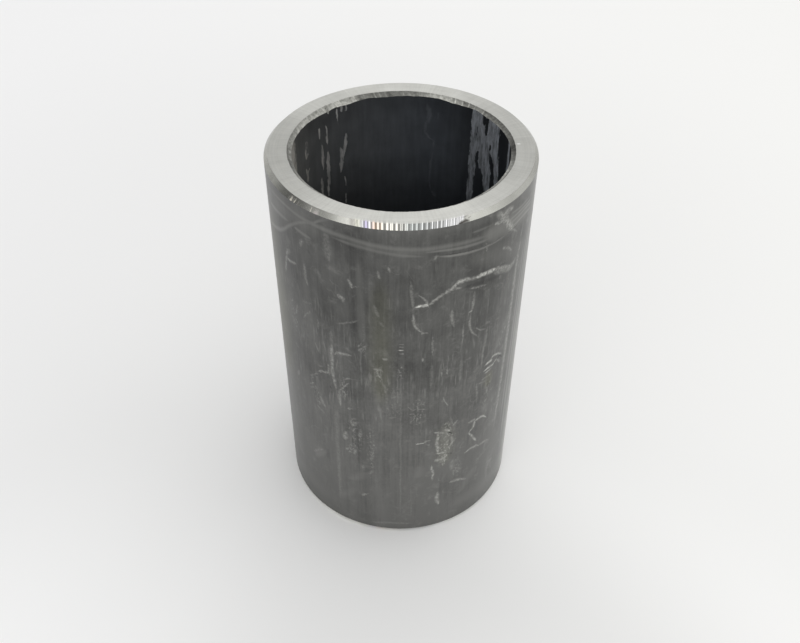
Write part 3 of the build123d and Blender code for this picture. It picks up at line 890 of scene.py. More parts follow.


# Painted glints on the chatter's ripples at the front of the chamfer: where along the arc from the camera side
# and half width, in mm, and how bright
chatterGlints = [
    (-4.45, 0.10, 0.80), (-4.10, 0.17, 0.82), (-3.78, 0.09, 0.80), (-3.41, 0.12, 0.86), (-3.06, 0.13, 1.00),
    (-2.65, 0.15, 1.00), (-2.22, 0.14, 1.00), (-1.82, 0.14, 1.00), (-1.31, 0.15, 1.00), (-0.97, 0.09, 1.00),
    (-0.81, 0.08, 1.00), (-0.39, 0.14, 1.00), (0.00, 0.08, 0.70), (0.15, 0.08, 0.74), (0.47, 0.09, 0.76),
    (0.64, 0.07, 0.90), (0.97, 0.06, 0.38), (1.13, 0.07, 0.84), (1.45, 0.06, 0.38), (1.58, 0.07, 0.84),
    (1.92, 0.06, 0.38), (2.10, 0.07, 1.00), (2.47, 0.06, 0.38), (2.60, 0.07, 0.84), (2.94, 0.06, 0.38),
    (3.11, 0.07, 1.00), (3.36, 0.07, 0.50), (3.62, 0.08, 0.94), (4.04, 0.09, 0.86), (4.32, 0.07, 0.62),
    (4.53, 0.10, 1.00), (4.79, 0.07, 0.86), (5.02, 0.09, 0.94), (5.21, 0.07, 0.80), (5.38, 0.08, 1.00),
    (5.65, 0.08, 0.86), (5.84, 0.07, 0.84), (6.02, 0.07, 0.86), (6.20, 0.08, 0.92), (6.36, 0.08, 1.00),
]
chatterGapReflections = [  # painted dark reflection: how bright it is between them
    (-5.30, 0.74), (-4.95, 0.56), (-4.25, 0.56), (-3.90, 0.52), (-3.59, 0.36), (-3.23, 0.34), (-2.85, 0.30),
    (-2.39, 0.20), (-2.00, 0.26), (-1.60, 0.19), (-1.10, 0.15), (-0.65, 0.26), (-0.17, 0.15), (0.27, 0.17),
    (0.83, 0.22),
    (1.26, 0.24), (1.72, 0.15), (2.02, 0.26), (2.25, 0.08), (2.39, 0.22), (2.77, 0.15), (3.23, 0.20),
    (3.77, 0.26), (4.19, 0.24), (4.66, 0.30), (5.19, 0.38), (5.71, 0.34), (6.60, 0.40),
]
glintTints = {  # pale tints of the painted glints
    "straw": "#fbfaea",
    "violet": "#e4dcff",
    "rose": "#ffebe2",
    "bronze": "#f2d6bc",
    "cream": "#fffcf3",
    "cool": "#f6fbf8",
    "clear": "#fcfcfc",
}
chatterGlintTints = [  # by place
    (-4.80, "cream"), (-4.25, "straw"), (-3.77, "clear"), (-3.41, "violet"), (-3.06, "clear"), (-2.75, "rose"),
    (-2.39, "bronze"), (-2.20, "cream"), (-2.00, "bronze"), (-1.82, "cream"), (-0.25, "cream"), (1.00, "cool"),
    (4.66, "clear"),
]
chatterGlintBand = {
    "low": -5.5,  # mm, where the curve of the lines starts
    "length": 12.0,
    "middle": 0.66,
    "reach": 5.55,  # on both sides of the middle, and then it fades
    "fade": 0.40,
    # the painted dark reflection between the glints
    "dark": "#343432",
    "fan": 0.08,  # how much the lines spread, for every mm from the corner
    # how the painted glints run on over the corner, onto the face: radii in mm, and how strong
    "faint": (13.9, 14.6, 0.22),
    "clear": (14.30, 14.54, 0.8),
}


def paintedChatterGlints(tree, point):
    # the painted glints' colour, with painted dark reflection between them, and a mask of where they are; they
    # fan out as they run inwards
    arc = unroll(tree, point, outerRadius, -1.0)[0]
    radius = outwards(tree, point)[1]
    fan = addNode(tree, "ShaderNodeMapRange", {"clamp": False}, {
        "Value": radius, "From Min": outerRadius / mm, "From Max": outerRadius / mm - 1, "To Min": 1.0,
        "To Max": 1 - chatterGlintBand["fan"]})
    arc = addNode(tree, "ShaderNodeMath", {"operation": "MULTIPLY"}, {0: arc, 1: fan.outputs[0]}).outputs[0]
    low, length = chatterGlintBand["low"], chatterGlintBand["length"]
    places = []
    for place, halfWidth, level in chatterGlints:
        gap = readRing(chatterGapReflections, place)
        places += [(place - halfWidth, gap), (place - halfWidth / 2, level),
                   (place + halfWidth / 2, level), (place + halfWidth, gap)]
    level = levelAlong(tree, arc, low, length, places)
    share = addNode(tree, "ShaderNodeMapRange", None,
                    {"Value": arc, "From Min": low, "From Max": low + length})
    tints = addNode(tree, "ShaderNodeValToRGB", None, {0: share.outputs[0]})
    stops = tints.color_ramp.elements
    stops.remove(stops[1])
    for place, name in chatterGlintTints:
        stop = stops.new((place - low) / length)
        stop.color = hexColour(glintTints[name])
    stops.remove(stops[0])
    colour = addNode(tree, "ShaderNodeMix", {"data_type": "RGBA"},
                     {0: level, 6: hexColour(chatterGlintBand["dark"]), 7: tints.outputs[0]}).outputs[2]
    away = addNode(tree, "ShaderNodeMath", {"operation": "SUBTRACT"}, {0: arc, 1: chatterGlintBand["middle"]})
    away = addNode(tree, "ShaderNodeMath", {"operation": "ABSOLUTE"}, {0: away.outputs[0]})
    window = addNode(tree, "ShaderNodeMapRange", {"interpolation_type": "SMOOTHSTEP"}, {
        "Value": away.outputs[0], "From Min": chatterGlintBand["reach"] + chatterGlintBand["fade"],
        "From Max": chatterGlintBand["reach"]})
    return colour, window.outputs[0]


# Painted light and shade by angle, in how bright the steel is drawn: the upper face, the upper chamfer and the
# upper countersink
faceLightByAngle = [
    (0, 0.93), (10, 0.95), (20, 1.01), (30, 0.96), (40, 0.99), (50, 1.04), (70, 1.09), (85, 1.05),
    (105, 1.02), (120, 0.96), (130, 0.90), (150, 0.95), (160, 0.84), (170, 0.90), (185, 0.92), (210, 1.00),
    (220, 1.04), (230, 1.08), (240, 1.14), (250, 1.12), (260, 1.07), (280, 1.04), (300, 1.02), (310, 0.92),
    (320, 0.87), (340, 0.85), (350, 0.87), (360, 0.93),
]
chamferLightByAngle = [
    (0, 0.59), (10, 0.58), (25, 0.76), (60, 0.80), (165, 0.72), (180, 0.67), (190, 0.80), (200, 0.91),
    (211, 0.95), (218, 1.20), (228, 1.45), (232, 1.75), (238, 1.45), (243, 1.48), (246, 1.70), (252, 1.55),
    (256, 1.0),
    (290, 1.10), (300, 1.02), (310, 0.81), (320, 0.68), (330, 0.78), (340, 0.72), (350, 0.70), (360, 0.59),
]
countersinkLightByAngle = [
    (0, 0.16), (10, 0.46), (20, 0.61), (30, 0.53), (40, 0.61), (50, 0.63), (60, 1.30), (70, 1.15), (78, 0.72),
    (90, 0.48), (105, 0.45), (110, 0.49), (114, 0.40), (118, 1.07), (130, 1.20), (140, 0.95), (150, 0.92),
    (165, 0.86), (175, 0.80), (185, 0.74), (200, 0.75), (208, 1.30), (230, 1.40), (270, 1.20), (310, 1.40),
    (335, 1.30), (345, 0.80), (360, 0.16),
]
countersinkTicks = [  # how strong the marks across it are
    (0, 0.2), (36, 0.3), (40, 1.0), (60, 1.0), (64, 0.2), (100, 0.5), (112, 0.9), (118, 0.9), (122, 0.2),
    (128, 0.8), (142, 0.8), (146, 0.15), (360, 0.2),
]

turned = {
    "dull": "#b0b0ab",
    "bright": "#cfcfca",
    "ringPitch": 0.2,  # mm, of the tool's rings
    "streaks": 60,  # faint radial wiping streaks, per radian
    "stainPerMm": 0.45,
    "grainPerMm": 6.0,
    # how much each of them adds to the tone, and the tones that are dullest and brightest
    "shares": {"rings": 1.0, "streaks": 0.9, "grain": 0.5},
    "tones": (1.1, 2.3),
    "glint": (12.88, 0.56),  # mm, a painted highlight where a burr catches the light
    "glintColour": "#ffffff",
    "glintShape": (3.0, 9.0, 0.0),  # per mm, its size across and along
}


def turnedFace():
    # Faced in a lathe: bright bare steel with fine rings, which spread its highlights across the ring
    material, tree = newMaterial("faced_steel")
    point = metreToMillimetre(tree)
    outward, radius = outwards(tree, point)
    ringPlace = addNode(tree, "ShaderNodeCombineXYZ", None, {0: radius})
    rings = addNode(tree, "ShaderNodeTexNoise", None, {
        "Vector": ringPlace.outputs[0], "Scale": 1 / turned["ringPitch"], "Detail": 2.0, "Roughness": 0.6})
    streaks = addNode(tree, "ShaderNodeTexNoise", None,
                      {"Vector": outward, "Scale": turned["streaks"], "Detail": 3.0, "Roughness": 0.6})
    stain = addNode(tree, "ShaderNodeTexNoise", None,
                    {"Vector": point, "Scale": turned["stainPerMm"], "Detail": 2.0})
    grain = addNode(tree, "ShaderNodeTexNoise", None,
                    {"Vector": point, "Scale": turned["grainPerMm"], "Detail": 2.0})
    tone = stain.outputs["Fac"]
    for pattern, share in ((rings, "rings"), (streaks, "streaks"), (grain, "grain")):
        tone = addNode(tree, "ShaderNodeMath", {"operation": "MULTIPLY_ADD"},
                       {0: pattern.outputs["Fac"], 1: turned["shares"][share], 2: tone}).outputs[0]
    share = addNode(tree, "ShaderNodeMapRange", None, {
        "Value": tone, "From Min": turned["tones"][0], "From Max": turned["tones"][1]})
    bright = addNode(tree, "ShaderNodeMix", {"data_type": "RGBA"}, {
        0: share.outputs[0], 6: hexColour(turned["dull"]), 7: hexColour(turned["bright"])})
    # painted light and shade by angle
    colour = shaded(tree, bright.outputs[2], roundTheRim(tree, point, faceLightByAngle))
    # the painted glints of the chatter run on over the corner, faintly and then, next to it, clearly
    lines, window = paintedChatterGlints(tree, point)
    for blend, (inner, outer, level) in (("MIX", chatterGlintBand["faint"]), ("LIGHTEN", chatterGlintBand["clear"])):
        near = addNode(tree, "ShaderNodeMapRange", {"interpolation_type": "SMOOTHSTEP"}, {
            "Value": radius, "From Min": inner, "From Max": outer, "To Max": level})
        near = addNode(tree, "ShaderNodeMath", {"operation": "MULTIPLY"}, {0: near.outputs[0], 1: window})
        colour = addNode(tree, "ShaderNodeMix", {"data_type": "RGBA", "blend_type": blend},
                         {0: near.outputs[0], 6: colour, 7: lines}).outputs[2]
    # a painted highlight on a burr
    away = addNode(tree, "ShaderNodeVectorMath", {"operation": "SUBTRACT"}, {
        0: point, 1: (*turned["glint"], bushLength / mm)})
    away = addNode(tree, "ShaderNodeVectorMath", {"operation": "MULTIPLY"},
                   {0: away.outputs[0], 1: turned["glintShape"]})
    away = addNode(tree, "ShaderNodeVectorMath", {"operation": "LENGTH"}, {0: away.outputs[0]})
    glint = addNode(tree, "ShaderNodeMapRange", {"interpolation_type": "SMOOTHSTEP"}, {
        "Value": away.outputs["Value"], "From Min": 1.0, "From Max": 0.2, "To Max": 0.9})
    colour = addNode(tree, "ShaderNodeMix", {"data_type": "RGBA"}, {
        0: glint.outputs[0], 6: colour, 7: hexColour(turned["glintColour"])})
    relief = addNode(tree, "ShaderNodeBump", None,
                     {"Strength": 0.3, "Distance": 0.01 * mm, "Height": rings.outputs["Fac"]})
    shader = addNode(tree, "ShaderNodeBsdfPrincipled", None, {
        "Base Color": colour.outputs[2], "Metallic": 1.0, "Roughness": 0.40, "Anisotropic": 0.85,
        "Tangent": outward, "Normal": relief.outputs[0],
    })
    addNode(tree, "ShaderNodeOutputMaterial", None, {0: shader.outputs[0]})
    return material


# Single marks on the chamfer, left of the chatter and where the tool came out: painted glints, pale pinkish
# patches, painted dark reflection beside the glints and painted shade in the chip. Each has half width and
# strength, then arc from the camera side and height, in mm
chamferGlints = [
    (0.30, 1.20, [(-12.64, 49.25), (-12.70, 50.20)]),
    (0.16, 0.80, [(-12.12, 49.45), (-12.04, 50.10)]),
    (0.07, 0.65, [(-9.75, 49.45), (-9.75, 49.98)]),
]
chamferPalePatches = [
    (0.56, 1.05, [(-9.10, 49.20), (-9.04, 50.25)]),
    (0.18, 0.30, [(-11.60, 49.40), (-11.54, 50.10)]),
]
chamferShadeMarks = [
    (0.14, 0.75, [(-12.36, 49.40), (-12.32, 50.10)]),
    (0.18, 0.45, [(-13.10, 49.40), (-13.02, 50.10)]),
    (0.10, 0.60, [(-9.58, 49.40), (-9.58, 50.00)]),
    (0.13, 0.25, [(-8.62, 49.40), (-8.62, 50.10)]),
    (0.22, 1.10, [(5.75, 49.52), (6.30, 49.60), (6.70, 49.63), (7.15, 49.60)]),
    (0.08, 0.35, [(6.90, 49.74), (7.40, 49.86)]),
]

chamfered = {
    "dull": "#b8b8b1",
    "bright": "#cdcdc6",
    # the painted glints, the pale pinkish patches, and the painted shade and dark reflection of the single
    # marks
    "glint": "#fff7e6",
    "palePatch": "#c9bcbe",
    "stain": "#3e3a35",
}


def turnedChamfer():
    # Chamfered with a form tool that sprang: shinier than the face, with painted glints, pale tinted, and
    # painted dark reflection in the chatter
    material, tree = newMaterial("chamfered_steel")
    point = metreToMillimetre(tree)
    arc, height = unroll(tree, point, outerRadius, -1.0)
    stain = addNode(tree, "ShaderNodeTexNoise", None, {"Vector": point, "Scale": 1.2, "Detail": 3.0})
    plain = addNode(tree, "ShaderNodeMix", {"data_type": "RGBA"}, {
        0: stain.outputs["Fac"], 6: hexColour(chamfered["dull"]), 7: hexColour(chamfered["bright"])})
    # painted light and shade by angle
    plain = shaded(tree, plain.outputs[2], roundTheRim(tree, point, chamferLightByAngle))
    # the painted glints and dark reflection on the front of the chamfer
    lines, window = paintedChatterGlints(tree, point)
    colour = addNode(tree, "ShaderNodeMix", {"data_type": "RGBA"}, {0: window, 6: plain, 7: lines})
    marked = 0.0
    for marks, code in (
        (chamferPalePatches, chamfered["palePatch"]),
        (chamferShadeMarks, chamfered["stain"]),
        (chamferGlints, chamfered["glint"]),
    ):
        mask = markMask(tree, (arc, height), chamferSpans, marks)
        colour = addNode(tree, "ShaderNodeMix", {"data_type": "RGBA"}, {
            0: mask, 6: colour.outputs[2], 7: hexColour(code)})
        marked = addNode(tree, "ShaderNodeMath", {"operation": "MAXIMUM"}, {0: marked, 1: mask}).outputs[0]
    # the marks don't mirror the room, so the painted glints and the pale patches show pale and the painted
    # shade shows dark
    mirror = addNode(tree, "ShaderNodeMapRange", None, {"Value": marked, "To Min": 1.0, "To Max": 0.1})
    shader = addNode(tree, "ShaderNodeBsdfPrincipled", None, {
        "Base Color": colour.outputs[2], "Metallic": mirror.outputs[0], "Roughness": 0.22,
    })
    addNode(tree, "ShaderNodeOutputMaterial", None, {0: shader.outputs[0]})
    return material


countersink = {
    "dull": "#7d7d78",
    "bright": "#b4b4ae",
    "tears": (0.35, 0.7),  # of the noise, where it is dullest and brightest
    "tearsPerMm": 2.2,
    "ticksPerMm": 3.2,
    "slant": 0.5,
    "tickLevel": 0.55,
}


def tornCountersink():
    # Cut by hand after the face: torn, duller steel with short marks across it
    material, tree = newMaterial("torn_countersink_steel")
    point = metreToMillimetre(tree)
    torn = addNode(tree, "ShaderNodeTexNoise", None,
                   {"Vector": point, "Scale": countersink["tearsPerMm"], "Detail": 5.0, "Roughness": 0.7})
    grey = addNode(tree, "ShaderNodeValToRGB", None, {0: torn.outputs["Fac"]})
    for stop, place, name in zip(grey.color_ramp.elements, countersink["tears"], ("dull", "bright")):
        stop.position = place
        stop.color = hexColour(countersink[name])
    # slanting ticks where the tool caught
    arc, height = unroll(tree, point, boreRadius, 1.0)
    slant = addNode(tree, "ShaderNodeMath", {"operation": "MULTIPLY_ADD"},
                    {0: height, 1: countersink["slant"], 2: arc})
    tickPlace = addNode(tree, "ShaderNodeCombineXYZ", None, {0: slant.outputs[0]})
    ticks = addNode(tree, "ShaderNodeTexNoise", None,
                    {"Vector": tickPlace.outputs[0], "Scale": countersink["ticksPerMm"], "Detail": 1.0})
    ticks = addNode(tree, "ShaderNodeMapRange", {"interpolation_type": "SMOOTHSTEP"}, {
        "Value": ticks.outputs["Fac"], "From Min": 0.54, "From Max": 0.66})
    ticks = addNode(tree, "ShaderNodeMath", {"operation": "MULTIPLY"},
                    {0: ticks.outputs[0], 1: roundTheRim(tree, point, countersinkTicks)})
    # painted light and shade by angle, with the ticks added
    tone = addNode(tree, "ShaderNodeMath", {"operation": "MULTIPLY_ADD"}, {
        0: ticks.outputs[0], 1: countersink["tickLevel"], 2: roundTheRim(tree, point, countersinkLightByAngle)})
    relief = addNode(tree, "ShaderNodeBump", None,
                     {"Strength": 0.35, "Distance": 0.04 * mm, "Height": torn.outputs["Fac"]})
    shader = addNode(tree, "ShaderNodeBsdfPrincipled", None, {
        "Base Color": shaded(tree, grey.outputs[0], tone.outputs[0]),
        "Metallic": 1.0, "Roughness": 0.45, "Normal": relief.outputs[0],
    })
    addNode(tree, "ShaderNodeOutputMaterial", None, {0: shader.outputs[0]})
    return material


# Where the scale is worn off the bore: half width and strength, then arc from the far side, to the right, and
# height, in mm
boreWear = [
    (0.32, 1.0, [(-11.2, 48.0), (-11.1, 46.4)]),
    (0.40, 1.1, [(-10.9, 45.9), (-10.8, 43.7), (-10.7, 41.9)]),
    (0.45, 1.1, [(-11.2, 41.5), (-11.1, 38.3)]),
    (0.24, 1.0, [(-10.0, 48.0), (-9.9, 46.5), (-10.0, 45.0)]),
    (0.50, 1.1, [(-9.9, 44.6), (-9.9, 42.1), (-9.9, 39.1)]),
    (0.30, 0.9, [(-10.2, 40.7), (-10.1, 37.7)]),
    (0.42, 1.0, [(-7.0, 46.0), (-7.3, 44.1), (-7.6, 42.3)]),
    (0.48, 1.0, [(-7.9, 44.3), (-7.8, 42.5), (-8.1, 40.2)]),
    (0.22, 0.75, [(-8.3, 49.5), (-8.2, 46.9)]),
    (0.30, 1.0, [(-7.7, 50.1), (-7.5, 48.6)]),
    (0.24, 0.9, [(-7.0, 50.1), (-7.0, 48.5)]),
    (0.22, 0.60, [(-7.5, 40.0), (-7.4, 38.1)]),
    (0.22, 0.60, [(-7.5, 37.5), (-7.4, 35.5)]),
    (0.90, 0.62, [(-13.9, 47.8), (-13.9, 45.0)]),
    (0.42, 0.80, [(-14.3, 44.2), (-13.9, 43.3), (-14.0, 42.0)]),
    (0.30, 0.70, [(-13.3, 43.9), (-14.0, 43.1)]),
    (3.40, 1.6, [(11.7, 54.1), (11.7, 49.0), (12.0, 46.0), (12.2, 43.0), (12.5, 39.0)]),
    (0.85, 1.3, [(9.6, 54.1), (9.6, 44.0), (9.5, 34.0)]),
    (0.80, 1.1, [(11.8, 47.0), (11.7, 43.6), (12.0, 39.6)]),
    (1.10, 1.2, [(13.4, 54.1), (13.9, 46.0), (14.5, 40.0)]),
    (0.85, 1.5, [(17.7, 54.0), (17.8, 46.0), (17.9, 41.9)]),
    (3.40, 1.5, [(-19.2, 54.3), (-19.1, 42.3)]),
]

# Where the scale has stayed inside the large worn patch
boreIslands = [
    (0.60, 1.7, [(11.1, 51.1), (11.2, 48.2)]),
    (0.60, 1.7, [(11.9, 51.0), (11.6, 47.0)]),
    (0.40, 1.5, [(12.6, 46.7), (12.5, 45.7)]),
    (0.85, 1.8, [(12.5, 46.0), (13.0, 44.4), (13.4, 43.0), (13.7, 39.0)]),
    (0.36, 1.5, [(10.5, 44.8), (10.4, 43.4)]),
    (0.45, 1.6, [(10.2, 43.7), (10.6, 42.4), (10.7, 40.8)]),
    (0.90, 1.9, [(11.1, 42.9), (11.2, 40.5), (11.1, 36.0)]),
]

# Faint traces on the scale
boreTraces = [
    (0.45, 0.15, [(3.1, 49.0), (3.3, 47.7), (3.2, 46.4)]),
    (0.32, 0.20, [(3.5, 48.7), (3.5, 47.3), (3.0, 46.0), (2.9, 45.0), (3.4, 44.3), (4.1, 43.9),
                  (4.0, 42.6)]),
    (0.22, 0.16, [(4.0, 42.6), (3.8, 41.0), (3.7, 39.5), (3.6, 38.0), (3.9, 36.6)]),
    (0.40, 0.15, [(4.1, 36.7), (4.5, 35.8)]),
    (0.12, 0.12, [(4.6, 48.0), (4.6, 46.8)]),
    (0.35, 0.05, [(-3.2, 45.1), (-3.2, 41.5)]),
    (0.30, 0.04, [(-5.6, 44.9), (-5.6, 41.5)]),
    (0.18, 0.04, [(1.7, 49.4), (1.7, 45.7)]),
    (1.60, 0.06, [(-14.3, 52.2), (-14.3, 42.1)]),
    (1.60, 0.08, [(-16.7, 52.2), (-16.7, 42.2)]),
]

boreScale = {
    "dark": "#46484a",
    "pale": "#606264",
    "worn": "#dddddc",
    "tints": ("#fffaf0", "#eff5ff"),  # browner on the left, bluer on the right
    "tintReach": (-16.0, 4.0),  # mm of arc
    "streakWidth": 0.5,  # mm
    "patchesPerMm": 0.5,
    "tones": (0.6, 2.0),  # darkest and palest
    "stretch": {"streaks": 0.10, "tears": 0.22, "edges": 0.35},  # along the tube, as on the outside
    "tearsPerMm": 2.4,
    "tearLevel": 1.8,
    "edgesPerMm": 1.5,
    "edgeReach": 0.8,  # mm, how far the edges of the worn places wander
    # how pale the scale is, by height and by arc, in mm
    "levels": [(32, 1.10), (36, 1.40), (38, 1.80), (40, 2.00), (42, 2.35), (45, 2.08), (47, 1.84),
               (48.4, 1.42), (50, 1.20)],
    "sides": [(-38, 0.80), (-30, 1.0), (-19, 1.15), (-15, 1.08), (-12.5, 0.98), (0, 1.0), (2, 0.95),
              (5, 0.86), (7, 0.80), (8.3, 0.60), (12, 0.37), (19, 0.28), (27, 0.60), (38, 0.80)],
    # and painted light: how bright it is where it is worn, by arc
    "wornSides": [(-38, 1.0), (-19, 0.95), (-17, 0.85), (-15.5, 0.72), (-12, 0.94), (9, 0.94), (10.5, 0.98),
                  (12, 1.12), (14, 1.25), (19, 1.30), (38, 1.0)],
}


def scaledBore():
    # The bore keeps the mill's black scale and dried drawing soap, worn through to grey metal in streaks
    material, tree = newMaterial("black_scaled_bore")
    point = metreToMillimetre(tree)
    arc, height = unroll(tree, point, boreRadius, 1.0)
    stretch = boreScale["stretch"]
    streaks = addNode(tree, "ShaderNodeTexNoise", None, {
        "Vector": alongTube(tree, point, stretch["streaks"]), "Scale": 1 / boreScale["streakWidth"],
        "Detail": 3.0, "Roughness": 0.6})
    patches = addNode(tree, "ShaderNodeTexNoise", None,
                      {"Vector": point, "Scale": boreScale["patchesPerMm"], "Detail": 3.0})
    tone = addNode(tree, "ShaderNodeMath", None, {0: streaks.outputs["Fac"], 1: patches.outputs["Fac"]})
    share = addNode(tree, "ShaderNodeMapRange", None, {
        "Value": tone.outputs[0], "From Min": boreScale["tones"][0], "From Max": boreScale["tones"][1]})
    black = addNode(tree, "ShaderNodeMix", {"data_type": "RGBA"}, {
        0: share.outputs[0], 6: hexColour(boreScale["dark"]), 7: hexColour(boreScale["pale"])}).outputs[2]
    black = shaded(tree, black, levelAlong(tree, height, 32.0, 18.0, boreScale["levels"]))
    black = shaded(tree, black, levelAlong(tree, arc, -38.0, 76.0, boreScale["sides"]))
    worn = hexColour(boreScale["worn"])[:3]
    # painted light on the worn metal, by arc
    worn = shaded(tree, worn, levelAlong(tree, arc, -38.0, 76.0, boreScale["wornSides"]))
    across = addNode(tree, "ShaderNodeMapRange", None, {
        "Value": arc, "From Min": boreScale["tintReach"][0], "From Max": boreScale["tintReach"][1]})
    tint = addNode(tree, "ShaderNodeMix", {"data_type": "RGBA"}, {
        0: across.outputs[0], 6: hexColour(boreScale["tints"][0]), 7: hexColour(boreScale["tints"][1])})
    black, worn = [
        addNode(tree, "ShaderNodeMix", {"data_type": "RGBA", "blend_type": "MULTIPLY"},
                {0: 1.0, 6: colour, 7: tint.outputs[2]}).outputs[2]
        for colour in (black, worn)
    ]
    torn = addNode(tree, "ShaderNodeTexNoise", None, {
        "Vector": alongTube(tree, point, stretch["tears"]), "Scale": boreScale["tearsPerMm"],
        "Detail": 5.0, "Roughness": 0.75})
    tears = addNode(tree, "ShaderNodeMath", {"operation": "SUBTRACT"}, {0: torn.outputs["Fac"], 1: 0.5})
    # the edges of the worn places wander
    edges = addNode(tree, "ShaderNodeTexNoise", None, {
        "Vector": alongTube(tree, point, stretch["edges"]), "Scale": boreScale["edgesPerMm"],
        "Detail": 4.0, "Roughness": 0.75})
    centred = addNode(tree, "ShaderNodeMath", {"operation": "SUBTRACT"},
                      {0: arc, 1: boreScale["edgeReach"] / 2})
    wandering = addNode(tree, "ShaderNodeMath", {"operation": "MULTIPLY_ADD"}, {
        0: edges.outputs["Fac"], 1: boreScale["edgeReach"], 2: centred.outputs[0]}).outputs[0]
    wear, islands, traces = [
        markMask(tree, (wandering, height), boreSpans, marks) for marks in (boreWear, boreIslands, boreTraces)
    ]
    wear = addNode(tree, "ShaderNodeMath", {"operation": "SUBTRACT"}, {0: wear, 1: islands})
    wear = addNode(tree, "ShaderNodeMath", {"operation": "MULTIPLY_ADD"},
                   {0: tears.outputs[0], 1: boreScale["tearLevel"], 2: wear.outputs[0]})
    wear = addNode(tree, "ShaderNodeMapRange", {"interpolation_type": "SMOOTHSTEP"}, {
        "Value": wear.outputs[0], "From Min": 0.34, "From Max": 0.62})
    thin = addNode(tree, "ShaderNodeMapRange", None, {
        "Value": torn.outputs["Fac"], "From Min": 0.38, "From Max": 0.62, "To Min": 0.36, "To Max": 1.06})
    wear, traces = [
        addNode(tree, "ShaderNodeMath", {"operation": "MULTIPLY"}, {0: mask, 1: thin.outputs[0]}).outputs[0]
        for mask in (wear.outputs[0], traces)
    ]
    bare = addNode(tree, "ShaderNodeMath", {"operation": "MAXIMUM"}, {0: wear, 1: traces})
    colour = addNode(tree, "ShaderNodeMix", {"data_type": "RGBA"}, {0: bare.outputs[0], 6: black, 7: worn})
    shader = addNode(tree, "ShaderNodeBsdfPrincipled", None, {
        "Base Color": colour.outputs[2], "Metallic": 0.6, "Roughness": 0.5,
    })
    addNode(tree, "ShaderNodeOutputMaterial", None, {0: shader.outputs[0]})
    return material


turnedBush = makeBush([coldDrawnSkin(), turnedFace(), turnedChamfer(), tornCountersink(), scaledBore()])
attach(turnedBush, "root")
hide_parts("bush")
print("bush turned,", len(turnedBush.data.polygons), "faces")


# The pale sheet that the bush stands on
sheet = {
    "size": 3.0,
    "left": "#f0f0f0",  # painted shade, a little greyer on the left
    "right": "#f4f4f2",
    "reach": 90 * mm,  # of the change from left to right
    # painted shadows round the bush and in front of it, and one painted lighter place further in front:
    # centre, inner and outer radius in mm, and by what share
    "paintedShading": [
        (-17.0, 40.0, 36.0, 128.0, 0.046),
        (10.0, -49.0, 20.0, 47.0, 0.102),
        (-7.0, -76.0, 60.0, 91.0, -0.074),
    ],
}


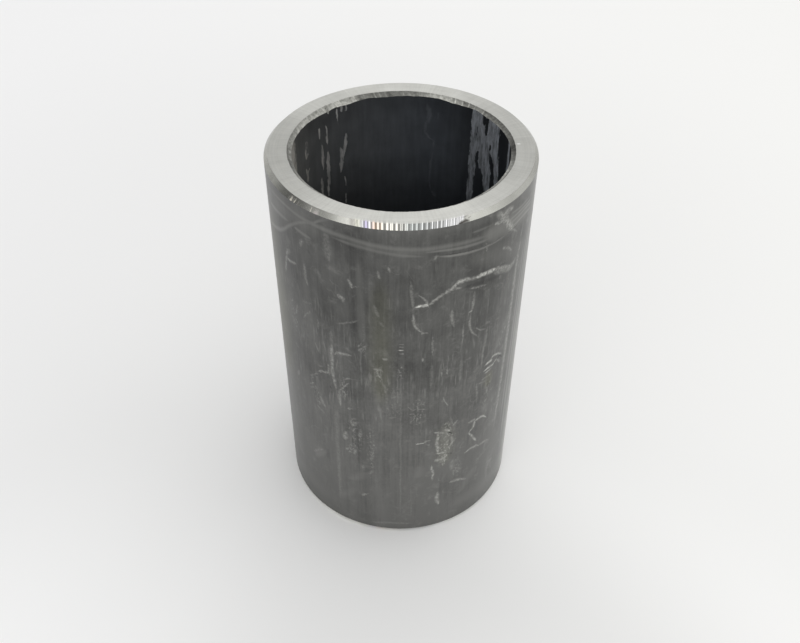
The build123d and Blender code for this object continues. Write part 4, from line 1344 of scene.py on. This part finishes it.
def makeFloor():
    material, tree = newMaterial("pale_sheet")
    coordinates = addNode(tree, "ShaderNodeTexCoord")
    parts = addNode(tree, "ShaderNodeSeparateXYZ", None, {0: coordinates.outputs["Object"]})
    share = addNode(tree, "ShaderNodeMapRange", None, {
        "Value": parts.outputs["X"], "From Min": -sheet["reach"], "From Max": sheet["reach"]})
    colour = addNode(tree, "ShaderNodeMix", {"data_type": "RGBA"}, {
        0: share.outputs[0], 6: hexColour(sheet["left"]), 7: hexColour(sheet["right"])}).outputs[2]
    # painted shadows on the sheet, and one painted lighter place
    for x, y, inner, outer, change in sheet["paintedShading"]:
        away = addNode(tree, "ShaderNodeVectorMath", {"operation": "DISTANCE"},
                       {0: coordinates.outputs["Object"], 1: (x * mm, y * mm, 0.0)})
        level = addNode(tree, "ShaderNodeMapRange", {"interpolation_type": "SMOOTHSTEP"}, {
            "Value": away.outputs["Value"], "From Min": inner * mm, "From Max": outer * mm,
            "To Min": 1 - change})
        colour = shaded(tree, colour, level.outputs[0])
    shader = addNode(tree, "ShaderNodeBsdfPrincipled", None,
                     {"Base Color": colour, "Roughness": 0.8, "Specular IOR Level": 0.2})
    addNode(tree, "ShaderNodeOutputMaterial", None, {0: shader.outputs[0]})
    bm = bmesh.new()
    bmesh.ops.create_grid(bm, x_segments=1, y_segments=1, size=sheet["size"] / 2)
    mesh = bpy.data.meshes.new("floor")
    bm.to_mesh(mesh)
    bm.free()
    mesh.materials.append(material)
    floor = bpy.data.objects.new("floor", mesh)
    scene.collection.objects.link(floor)


# Soft room light. Levels go by the sine of the height above the horizon, and each patch is a direction, a
# half angle in degrees and how much brighter or darker it is.
room = {
    "colour": "#ffffff",
    "least": 0.05,
    "levels": [(0.0, 0.85), (0.3, 0.66), (0.5, 0.68), (0.62, 0.84), (0.8, 1.00), (1.0, 1.05)],
    "patches": [
        ((0.80, 0.20, 0.56), 45, 0.36),  # window on the right
        ((0.25, 0.50, 0.83), 45, 0.48),  # lamp beyond the bush
        ((0.0, -0.75, 0.66), 45, 0.22),  # pale wall behind the camera
        ((-0.90, -0.15, 0.42), 42, -0.6),  # dark side of the room
        ((-1.0, 0.3, 0.0), 35, -0.2),
    ],
}


def makeLight():
    world = bpy.data.worlds.new("room")
    scene.world = world
    world.use_nodes = True
    tree = world.node_tree
    tree.nodes.clear()
    direction = addNode(tree, "ShaderNodeTexCoord").outputs["Generated"]
    parts = addNode(tree, "ShaderNodeSeparateXYZ", None, {0: direction})
    total = levelAlong(tree, parts.outputs["Z"], 0.0, 1.0, room["levels"])
    for towards, halfAngle, change in room["patches"]:
        facing = addNode(tree, "ShaderNodeVectorMath", {"operation": "DOT_PRODUCT"},
                         {0: direction, 1: Vector(towards).normalized()})
        rim = math.cos(math.radians(halfAngle))
        patch = addNode(tree, "ShaderNodeMapRange", {"interpolation_type": "SMOOTHSTEP"},
                        {"Value": facing.outputs["Value"], "From Min": rim, "To Max": change})
        total = addNode(tree, "ShaderNodeMath", None, {0: total, 1: patch.outputs[0]}).outputs[0]
    total = addNode(tree, "ShaderNodeMath", {"operation": "MAXIMUM"}, {0: total, 1: room["least"]})
    sky = addNode(tree, "ShaderNodeBackground", None,
                  {"Color": hexColour(room["colour"]), "Strength": total.outputs[0]})
    addNode(tree, "ShaderNodeOutputWorld", None, {0: sky.outputs[0]})


makeFloor()
makeLight()
scene.view_settings.view_transform = "Standard"
print("floor and light made")
